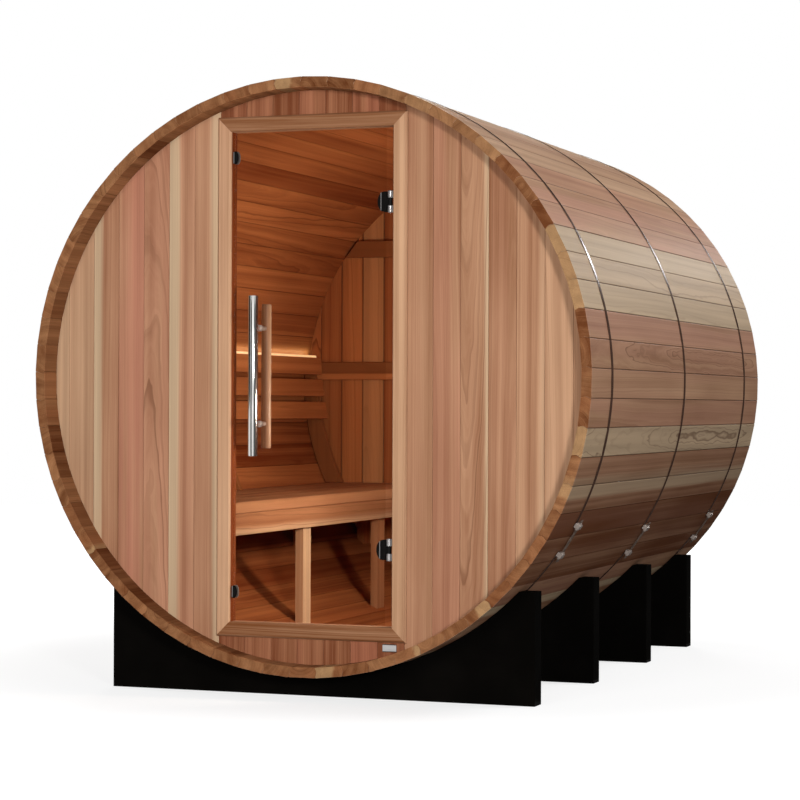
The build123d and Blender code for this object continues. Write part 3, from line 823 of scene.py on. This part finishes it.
# ---- door frame and trim
def make_door_frame():
    rng = random.Random(41)
    b = Builder()
    low, high = OPEN_BOTTOM - JAMB, OPEN_TOP + JAMB
    left = (-OPEN_X, -OPEN_X - JAMB)
    # Both jambs take the inside cedar at a very low tone: painted shade in the reveal between the trim and
    # the glass
    box_board(b, left, FRONT_WALL, (low, high), "z", rng, 0.8, tone=0.05, red=0.3, figure=0.05)

    # The right-hand jamb is let in for the two hinge leaves
    front, back = FRONT_WALL
    leaf_back, let_in = 99.3, 4.3
    half = BRACKET_HALF + GAP
    edges = [low] + [height + side * half for height in reversed(HINGES) for side in (-1, 1)] + [high]
    loops = []
    for k in range(len(edges) - 1):
        let = let_in if k % 2 else 0
        outline = [
            (OPEN_X + let, front + 0.6),
            (OPEN_X + let + 0.6, front),
            (OPEN_X + JAMB, front),
            (OPEN_X + JAMB, back),
            (OPEN_X + 0.6, back),
            (OPEN_X, back - 0.6),
            (OPEN_X, leaf_back),
            (OPEN_X + let, leaf_back - (0.01 if let else 0.5)),
        ]
        loops += [(edges[k], outline), (edges[k + 1], outline)]

    def place(s, x, d):
        return at(x, d, s)

    # The same very low tone on the right-hand jamb: painted shade
    looks = traits_of(rng, 0.05, 0.3, None, 0.05)
    b.skin(loops, place, lambda s, x, d: (s, d - (front + back) / 2, x - OPEN_X), **looks)
    b.make("door_jamb_boards", "trim_cedar", "door_jambs", INSIDE)

    b = Builder()
    x = (-OPEN_X + GAP, OPEN_X - GAP)
    for tone, level in ((0.60, (OPEN_TOP, high)), (0.50, (low, OPEN_BOTTOM))):
        box_board(b, x, FRONT_WALL, level, "x", rng, 0.8, tone=tone, red=0.3, figure=0.05)
    b.make("door_head_and_sill_boards", "trim_cedar", "door_head_and_sill", TRIM)


def trim_profile():
    """Section of the trim in (out from the opening, thickness), with softened arrises."""
    inner = [(0, 0), (0, TRIM_T - 3.9), (0.4, TRIM_T - 3.2), (3, TRIM_T - 0.5), (4.2, TRIM_T)]
    outer = [(6.8, TRIM_T), (5.6, TRIM_T - 0.45), (0.5, TRIM_T - 5.4), (0, TRIM_T - 6.4), (0, 0)]
    return inner + [(TRIM_W - x, thick) for x, thick in outer]


def make_trim():
    rng = random.Random(55)
    sides, levels = Builder(), Builder()
    face = FRONT_WALL[0] - GAP
    # Upright or not, right or top (1) or left or bottom (-1), tone and redness
    for upright, sign, tone, red in (
        (True, 1, 0.70, 0.12),
        (True, -1, 0.64, 0.18),
        (False, 1, 0.14, 0.00),
        (False, -1, 0.28, 0.00),
    ):
        looks = traits_of(rng, tone, red, None, 0.08)
        half, off = (OPEN_HALF, OPEN_X) if upright else (OPEN_X, OPEN_HALF)

        def along(end, out):
            return end * (half + out - GAP / 2)

        def place(end, out, thick):
            across = sign * (off + out)
            if upright:
                return at(across, face - thick, OPEN_MIDDLE + along(end, out))
            return at(along(end, out), face - thick, OPEN_MIDDLE + across)

        def grain(end, out, thick):
            return along(end, out), out, thick

        loops = [(end, trim_profile()) for end in (-1, 1)]
        (sides if upright else levels).skin(loops, place, grain, **looks)
    for b, board, node in (
        (sides, "door_trim_side", "door_trim_sides"),
        (levels, "door_trim_head_and_sill", "door_trim_head_and_sill"),
    ):
        b.make(f"{board}_boards", "trim_cedar", node, TRIM, sharp=20)


# ---- door leaf
def make_door():
    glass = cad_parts["door_glass"]
    glass.data.materials.clear()
    glass.data.materials.append(DOOR_GLASS)
    make_handle()
    make_hinges()
    make_catches()


def make_handle():
    """Chrome tube outside and cedar bar inside, on collars bolted through the glass."""
    front, back = GLASS[0] - GAP, GLASS[1] + GAP
    tube, bar_depth = GLASS_MID - HANDLE_REACH, GLASS_MID + HANDLE_REACH

    def handle_rod(b, depth, half, sides, end, **looks):
        foot, head = (HANDLE_X, depth, HANDLE_Z - half), (HANDLE_X, depth, HANDLE_Z + half)
        rod(b, foot, head, HANDLE_R, sides, profile=turned(2 * half, end), **looks)

    b = Builder()
    handle_rod(b, tube, TUBE_HALF, 40, [(0, 10), (0.25, 14), (1.2, 15.6), (2.2, HANDLE_R)])
    b.make("handle_tube_chrome", "handle_chrome", "handle_tube_outside", CHROME, body="door")

    b = Builder()
    end = [(0, 11.5), (0.8, 14), (2.4, 15.5), (4.5, HANDLE_R)]
    # The bar is dark, with pale sapwood down one side: partly real sapwood, partly painted shade on its left
    # half and painted light on its right half
    handle_rod(b, bar_depth, BAR_HALF, 32, end, tone=0.12, sap=(-6, 0.7))
    b.make("handle_bar_cedar", "handle_wood", "handle_bar_inside", HANDLE_WOOD, body="door")

    b = Builder()
    sunk = HANDLE_R - 1.2
    collar, stem = 2.4, 2.2
    collar_r, stem_r, bolt_r = 10.5, 7, 4
    for height in (HANDLE_Z - BOLT_HALF, HANDLE_Z + BOLT_HALF):
        for start, stop, radius, sides, bevel in (
            (tube + sunk, GLASS[0] - stem, stem_r, 24, 0.5),
            (GLASS[0] - collar, front, collar_r, 28, 0.6),
            (front - 0.1, back + 0.1, bolt_r, 16, 0.2),
            (back, GLASS[1] + collar, collar_r, 28, 0.6),
            (GLASS[1] + stem, bar_depth - sunk, stem_r, 24, 0.5),
        ):
            rod(b, (HANDLE_X, start, height), (HANDLE_X, stop, height), radius, sides, bevel)
    b.make("handle_collars_chrome", "handle_chrome", "handle_standoffs", COLLAR_STEEL, body="door")


def pin_rod(b, low, high, radius, sides, bevel):
    rod(b, (PIN_X, GLASS_MID, low), (PIN_X, GLASS_MID, high), radius, sides, bevel)


def make_hinges():
    """Clamps on the glass, round towards the middle of the door, and brackets on the jamb."""
    front, rear = GLASS[0] - GAP, GLASS[1] + GAP
    edge = PIN_X - 13.5 + GAP
    flat = PIN_X - 8.6
    round_x, round_r = edge - 4, 23
    seam = edge - 16.5
    reach = CLAMP_HALF / round_r * half_chord(round_r, round_x - seam)
    front_t, rear_t, seam_w, step_t = 3.4, 4, 3.4, 1.2
    b = Builder()
    for z in HINGES:
        outline = [(flat, z - CLAMP_HALF), (flat, z + CLAMP_HALF)]
        outline += arc(round_x, z, round_r, CLAMP_HALF, 90, 270, 28)
        prism(b, outline, front - front_t, front, 0.6)
        prism(b, outline, rear, rear + rear_t, 0.7)
        raised = [(seam + seam_w, z - 30.5), (flat, z - 31.8), (flat, z + 31.8), (seam + seam_w, z + 30.5)]
        prism(b, raised, front - front_t - step_t, front - 3.2, 0.5)
        bright = [(seam, z - reach), (seam + 3, z - reach - 2)]
        bright += [(seam + 3, z + reach + 2), (seam, z + reach)]
        prism(b, bright, front - 3.9, front - 3.2, 0.2, 1)
        low, high = z - MIDDLE_KNUCKLE_HALF, z + MIDDLE_KNUCKLE_HALF
        prism(b, oblong(edge, PIN_X - PIN_R - GAP, low, high), front - 4, rear + 4, 0.6)
        pin_rod(b, low, high, KNUCKLE_R, 28, 0.5)
    b.make("hinge_clamps_black", "black_metal", "hinge_clamps", BLACK_METAL, HINGE_STEEL, body="door")

    b = Builder()
    leaf_t, behind, pin_half = 4, 11, BRACKET_HALF + 0.9
    inner = MIDDLE_KNUCKLE_HALF + GAP
    for z in HINGES:
        leaf = oblong(OPEN_X, OPEN_X + leaf_t, z - BRACKET_HALF, z + BRACKET_HALF)
        prism(b, leaf, FRONT_WALL[0], GLASS_MID + behind, 0.5)
        for low, high in ((z - BRACKET_HALF, z - inner), (z + inner, z + BRACKET_HALF)):
            pin_rod(b, low, high, KNUCKLE_R, 28, 0.6)
            prism(b, oblong(PIN_X + 5, OPEN_X + 0.2, low, high), GLASS[0], GLASS[1], 0.5)
        pin_rod(b, z - pin_half, z + pin_half, PIN_R, 16, 0.4)
    b.make("hinge_brackets_steel", "hinge_steel", "hinge_brackets", HINGE_STEEL)


def make_catches():
    """On the free edge of the glass: black outside, steel inside and round the edge."""
    front, rear = GLASS[0] - GAP, GLASS[1] + GAP
    glass_edge = -OPEN_X + 5.5
    edge = glass_edge + 1.6
    round_x, half, plate_t, wider, rim_half = edge + 5, 20.4, 3.5, 2.2, 18
    b = Builder()
    for z in CATCHES:
        outline = [(edge, z - half)] + arc(round_x, z, 9, half, -90, 90, 16) + [(edge, z + half)]
        prism(b, outline, front - plate_t, front, 0.6)
        behind = [(x + (wider if x > round_x else 0), y) for x, y in outline]
        prism(b, behind, rear, rear + plate_t, 0.6, 1)
        rim = oblong(edge - 3.6, edge - 0.1, z - rim_half, z + rim_half)
        prism(b, rim, front - 3, rear + 3, 0.5, 1)
    b.make("door_catches_black", "black_metal", "door_catches", BLACK_METAL, HINGE_STEEL, body="door")


# ---- cradles and hoops
def make_cradles():
    shoulder, hoop_room, relief = 52.5, 13, 1.6
    half = half_chord(RADIUS + GAP, CRADLE_TOP) + shoulder
    for index, front in enumerate(CRADLES):
        back = front + CRADLE_T
        relieved = any(front - hoop_room < hoop < back + hoop_room for hoop in HOOPS)
        r = RADIUS + GAP + (relief if relieved else 0)
        open_half = math.degrees(math.asin(half_chord(r, CRADLE_TOP) / r))
        outline = [(-half, -AXIS), (half, -AXIS), (half, CRADLE_TOP)]
        outline += arc(0, 0, r, r, open_half - 90, -open_half - 90, 60)
        outline.append((-half, CRADLE_TOP))
        b = Builder()
        prism(b, outline, front, back, 2)
        node = f"cradle_{index + 1}"
        b.make(f"{node}_painted", "black_paint", node, BLACK_PAINT)


def make_hoop(node, centre, tensioner):
    """Thin strap round the barrel, open where its tensioner draws it together."""
    inner, outer = RADIUS + GAP, RADIUS + GAP + HOOP_T
    open_half = (LUG_PLACE - LUG[1] / 2 + GAP) / inner
    start, stop = tensioner + open_half, tensioner - open_half + 2 * math.pi
    flat, soft = HOOP_HALF - 0.4, outer - 0.35
    section = [(inner, -HOOP_HALF), (soft, -HOOP_HALF), (outer, -flat)]
    section += [(outer, flat), (soft, HOOP_HALF), (inner, HOOP_HALF)]
    steps = 260

    def place(a, r, s):
        return at(r * math.cos(a), centre + s, r * math.sin(a))

    b = Builder()
    b.skin([(start + (stop - start) * k / steps, section) for k in range(steps + 1)], place, same)
    b.make(f"{node}_strap", "hoop_steel", node, HOOP_STEEL)


def make_tensioner(node, centre, angle):
    """Two lugs on the ends of a strap, and two threaded rods with nuts that draw them together."""
    tall, along_hoop, wide = LUG
    base = half_chord(RADIUS + GAP + HOOP_T, LUG_PLACE - along_hoop / 2) + GAP
    rod_r = base + tall * 0.6
    nut_half, tail, crest, root, pitch = 2.3, 24, 2.2, 1.8, 0.8
    ca, sa = math.cos(angle), math.sin(angle)

    def place(r, along, across_hoop):
        """out from the barrel, up along the hoop, along the barrel"""
        return (ca * r - sa * along, centre + across_hoop, sa * r + ca * along)

    b = Builder()
    for side in (-LUG_PLACE, LUG_PLACE):

        def lug(s, p, q):
            return at(*place(base + tall / 2 + p, side + q, s))

        b.skin(bar(rounded(tall, along_hoop, 0.9, 2), -wide / 2, wide / 2, 0.8), lug, same)
        for across in (-8, 8):
            for offset in (-along_hoop / 2 - nut_half, along_hoop / 2 + nut_half):

                def nut(s, p, q):
                    return at(*place(rod_r + p, side + offset + s, across + q))

                sizes = ((-2.2, 4.4), (-1.5, 4.9), (1.5, 4.9), (2.2, 4.4))
                b.skin([(s, arc(0, 0, r, r, 30, 390, 6)[:-1]) for s, r in sizes], nut, same)
    half = LUG_PLACE + tail
    for across in (-8, 8):
        # Threaded rod: a fine helix shows as rings of crest and root
        profile = [(0, 1.5)]
        s = 0.6
        while s < 2 * half - 0.6:
            profile.append((s, crest if len(profile) % 2 else root))
            s += pitch
        profile.append((2 * half, 1.5))
        rod(b, place(rod_r, -half, across), place(rod_r, half, across), crest, 10, kind=1, profile=profile)
    b.make(f"{node}_zinc", "bright_steel", node, ZINC, ROD_STEEL)


def make_hoops():
    # Each tensioner has its own place round its hoop, near the -34 degrees of the solids
    for index, (centre, degrees) in enumerate(zip(HOOPS, (-32.1, -35.5, -35.1))):
        make_hoop(f"hoop_{index + 1}", centre, math.radians(degrees))
        make_tensioner(f"hoop_tensioner_{index + 1}", centre, math.radians(degrees))


# ---- bench and backrest
BENCH_FRONT = -OPEN_X - 13
SEAT_BOTTOM = SEAT_TOP - SEAT_T
BENCH_BACK = 5.5 - half_chord(INNER, SEAT_BOTTOM)
BENCH_ENDS = (FRONT_WALL[1] + 1, BACK_WALL[0] - 1)
APRON_T = 20
APRON_RIGHT = BENCH_FRONT - 6
LEG_T, LEG_HALF = 28, 36
APRON_HEIGHT = 71
BEARER_HEIGHT, BEARER_HALF = 45, 14
REAR_LEG = 157


def make_bench():
    rng = random.Random(77)
    width = (BENCH_FRONT - BENCH_BACK - (SEAT_BOARDS - 1) * SEAT_GAP) / SEAT_BOARDS
    b = Builder()
    for k in range(SEAT_BOARDS):
        right = BENCH_FRONT - k * (width + SEAT_GAP)
        looks = dict(tone=rng.uniform(0.5, 0.68), red=rng.uniform(0.1, 0.5))
        looks["figure"] = rng.choice((0.1, 0.1, 0.7))
        box_board(b, (right - width, right), BENCH_ENDS, (SEAT_BOTTOM, SEAT_TOP), "y", rng, 4, **looks)
    b.make("bench_seat_boards", "bench_cedar", "bench_seat", BENCH)

    top = SEAT_BOTTOM - GAP
    apron_left = APRON_RIGHT - APRON_T
    looks = dict(tone=0.42, red=0.3, sap=(-12, -0.6), figure=0.6)
    b = Builder()
    box_board(b, (apron_left, APRON_RIGHT), BENCH_ENDS, (top - APRON_HEIGHT, top), "y", rng, 2, **looks)
    b.make("bench_apron_board", "bench_cedar", "bench_apron", BENCH)

    bottom = top - BEARER_HEIGHT
    across = (-half_chord(INNER - GAP, bottom), apron_left - GAP)
    b = Builder()
    for depth in FRAMES:
        along = (depth - BEARER_HALF, depth + BEARER_HALF)
        box_board(b, across, along, (bottom, top), "x", rng, 1.5, tone=0.5, red=0.3, figure=0.1)
    b.make("bench_bearer_boards", "bench_cedar", "bench_bearers", INSIDE)

    make_legs(rng, "front", apron_left, bottom - GAP, BENCH)
    make_legs(rng, "rear", BENCH_BACK + REAR_LEG, bottom - GAP, INSIDE)
    make_backrest(rng)


def make_legs(rng, name, right, top, cedar_face):
    """Legs cut to the curve of the staves that they stand on."""
    steps = 4

    def foot(x):
        return -half_chord(INNER - GAP, x)

    b = Builder()
    for depth in FRAMES:
        # The second front leg gets pale sapwood on all but its front face, so that its right face reads
        # pale: partly real sapwood, partly painted light
        pale = name == "front" and depth == FRAMES[1]
        looks = traits_of(rng, rng.uniform(0.5, 0.62), 0.3, (-35, 1) if pale else None, 0.1)
        outline = [(right - LEG_T + LEG_T * k / steps, depth - LEG_HALF) for k in range(steps + 1)]
        outline += [(right - LEG_T * k / steps, depth + LEG_HALF) for k in range(steps + 1)]

        def grain(end, x, d):
            return end(x), d - depth, x - right

        b.skin([(foot, outline), (lambda x: top, outline)], by_height, grain, **looks)
    b.make(f"bench_{name}_leg_boards", "bench_cedar", f"bench_{name}_legs", cedar_face, sharp=30)


def make_backrest(rng):
    """Curved ribs standing on the seat, three slats on them and the lamp strip behind the top."""
    waist_rise, waist_off, foot_off = 552, 34.3, 77.9
    waist_z = SEAT_TOP + waist_rise
    waist_x = waist_off - half_chord(INNER, waist_z)
    foot_x = foot_off - half_chord(INNER, SEAT_TOP)
    sag = foot_x - waist_x
    radius = (sag**2 + waist_rise**2) / (2 * sag)
    centre_x = waist_x + radius
    rib_rise = 515
    rib_top = SEAT_TOP + rib_rise

    def edge_x(z):
        return centre_x - half_chord(radius, z - waist_z)

    b = Builder()
    low = SEAT_TOP + GAP
    heights = [low + (rib_top - low) * k / 16 for k in range(17)]
    outline = [(edge_x(z), z) for z in heights]
    outline += [(-half_chord(INNER - 4, z), z) for z in reversed(heights)]
    first, last, rib_t = 170, 2204, 28
    for depth in (first, (first + last) / 2, last):
        prism(b, outline, depth, depth + rib_t, 1.5, **traits_of(rng, 0.90, 0.3, None, 0.1))
    b.make("backrest_rib_boards", "bench_cedar", "backrest_ribs", INSIDE)

    b = Builder()
    slat_w, slat_t = 70, 22
    start, stop = BENCH_ENDS[0], BACK_WALL[0] - GAP - BATTEN_T - 1
    slat_r = half_chord(radius, slat_w / 2) - GAP - slat_t / 2
    slat_rises = (479, 388, 295)
    for rise in slat_rises:
        z = SEAT_TOP + rise
        angle = math.atan2(z - waist_z, edge_x(z) - centre_x)
        place = around(angle, slat_r, centre_x, waist_z)
        looks = traits_of(rng, rng.uniform(0.6, 0.8), 0.1, None, 0.15)
        b.skin(bar(rounded(slat_w, slat_t, 3), start, stop, 1.8), place, same, **looks)
    b.make("backrest_slat_boards", "bench_cedar", "backrest_slats", INSIDE)

    b = Builder()
    width, height, soft = 16, 10, 3
    x1, z0 = edge_x(rib_top) - GAP, rib_top + GAP
    x0, z1 = x1 - width, z0 + height
    outline = [(x0, z0), (x1, z0), (x1, z1 - soft), (x1 - soft, z1), (x0 + soft, z1), (x0, z1 - soft)]
    prism(b, outline, start, stop, 0.6)
    b.make("light_strip_lit", "lamp_diffuser", "light_strip", LAMP)


def make_plate():
    """Bare label plate on a dark backing, under the trim and close to the staves."""
    width, height = 47, 25
    below_trim = 18
    z = OPEN_BOTTOM - TRIM_W - below_trim
    x = half_chord(INNER - 2.5, z - height / 2) - width / 2
    back = FRONT_WALL[0] - GAP
    b = Builder()
    prism(b, [(x + p, z + q) for p, q in rounded(width, height, 1.5)], back - 1, back, 0.3, 1)
    prism(b, [(x + p, z + q) for p, q in rounded(46, 19.5, 1)], back - 1.5, back - 0.9, 0.15)
    b.make("label_plate_plain", "plate_metal", "label_plate", PLATE, PLATE_BACK)


make_staves()
make_front_wall()
make_back_wall()
make_door_frame()
make_trim()
make_door()
make_cradles()
make_hoops()
make_bench()
make_plate()


# ---- floor, light and camera
def make_floor():
    mesh = bpy.data.meshes.new("floor")
    bm = bmesh.new()
    bmesh.ops.create_circle(bm, cap_ends=True, radius=14, segments=96)
    bm.to_mesh(mesh)
    bm.free()
    floor = place_object("floor", mesh)
    floor.location = (0, 0, -0.0005)
    m, t = new_material("floor_white")
    x, y, _ = t.xyz(t.here())
    away = t.math("SQRT", x * x + y * y)
    t.show(
        Base_Color=(0.30, 0.30, 0.30),
        Roughness=0.9,
        Specular_IOR_Level=0,
        Emission_Color=(1, 1, 1),
        Emission_Strength=t.seen() * t.step(away, 1.3, 2.6, 0.74, 1),
    )
    mesh.materials.append(m)


def make_world():
    ambient = 0.12
    world = bpy.data.worlds.new("studio")
    bpy.context.scene.world = world
    world.use_nodes = True
    t = Tree(world.node_tree, "ShaderNodeOutputWorld")
    strength = t.math("MULTIPLY_ADD", t.seen(), 1 - ambient, ambient)
    t.show("ShaderNodeBackground", Color=(1, 1, 1), Strength=strength)


def area(name, location, target, size, energy, colour=(1, 1, 1), size_y=None):
    data = bpy.data.lights.new(name, "AREA")
    data.shape = "RECTANGLE"
    data.size = size
    data.size_y = size_y or size
    data.energy = energy
    data.color = colour
    obj = place_object(name, data)
    obj.location = location
    obj.rotation_mode = "QUATERNION"
    obj.rotation_quaternion = (Vector(target) - Vector(location)).to_track_quat("-Z", "Y")
    obj.visible_camera = False
    return obj


def flag(name, centre, radius, angles, heights, shade, floor=False):
    """Curved studio flag: metal, glass and sheen mirror it, and it neither lights nor shades."""
    steps = 24
    turns = [math.radians(angles[0] + (angles[1] - angles[0]) * k / steps) for k in range(steps + 1)]
    x, y = centre
    points = [(x + radius * math.sin(a), y - radius * math.cos(a), z) for z in heights for a in turns]
    faces = [(k, k + 1, steps + k + 2, steps + k + 1) for k in range(steps)]
    if floor:
        faces = [(len(points), k, k + 1) for k in range(steps)] + faces
        points.append((x, y, heights[0]))
    mesh = bpy.data.meshes.new(name)
    mesh.from_pydata(points, [], faces)
    obj = place_object(name, mesh)
    obj.visible_camera = False
    obj.visible_diffuse = False
    obj.visible_shadow = False
    obj.visible_transmission = False
    m, t = new_material(name)
    t.show("ShaderNodeEmission", Color=(shade, shade, shade))
    mesh.materials.append(m)


def make_camera():
    """Camera by its place in metres, its turn about the upright, its tilt and its roll."""
    view = bpy.data.cameras.new("camera")
    camera = place_object("camera", view)
    yaw, pitch, roll = 0.356053, 0.0024975, 0.0037423
    spin, tilt = Matrix.Rotation(yaw, 4, "Z"), Matrix.Rotation(math.pi / 2 + pitch, 4, "X")
    place = Matrix.Translation((2.92484, -8.17275, 0.93194))
    camera.matrix_world = place @ spin @ tilt @ Matrix.Rotation(roll, 4, "Z")
    view.sensor_width = 36
    view.lens = 107.755
    view.clip_start, view.clip_end = 0.1, 200
    bpy.context.scene.camera = camera


make_floor()
make_world()
area("key", (4.4, -7.2, 1.8), (0, -1.15, 1), 0.9, 305)
fill = area("front_fill", (-0.5, -9, 1.9), (0, -1.15, 1), 3, 325)
fill.visible_glossy = False
area("top", (3.9, 0.8, 6.5), (0.9, 0.1, 1.2), 2.2, 262)
rim = area("rim", (1.75, 6.2, 3.3), (0.7, 0, 1.3), 1.2, 20, size_y=0.7)
rim.visible_glossy = False
area("back_fill", (-3, 8, 3.5), (0, 1.2, 1), 3, 330)
area("left_fill", (-7, 0.5, 3.5), (0, 0.3, 1), 3, 240)
area("cabin_lamp", (0.677, -0.815, 0.84), (-0.5, -0.3, 0.75), 0.16, 14, (1, 0.90, 0.80))
area("cabin_back", (0.45, -0.25, 1.30), (-0.65, 1.1, 1.05), 0.5, 4, (1, 0.90, 0.76))
area("strip_glow", (-0.889, 0, 1.146), (-1.1, 0, 1.19), 2.06, 0.56, (0.84, 1, 0.80), size_y=0.008)
flag("flag_left", (0, -1.1), 9.5, (-92, -46), (0.01, 5), 0.02)
flag("flag_door", (0, -1.1), 9.5, (-34, -6), (0.01, 5), 0.02, floor=True)
flag("flag_right", (0, -1.1), 9.5, (38, 88), (0.01, 5), 0.16, floor=True)
flag("card", (0, -1.1), 7, (-4, 36), (1.33, 4.2), 1.7)
flag("card_back", (0.8, -1.2), 8, (164, 173), (3.15, 3.65), 44)
flag("flag_back", (0.8, -1.2), 8.5, (95, 200), (0.01, 5.5), 0.04, floor=True)
make_camera()
bpy.context.scene.view_settings.view_transform = "Standard"
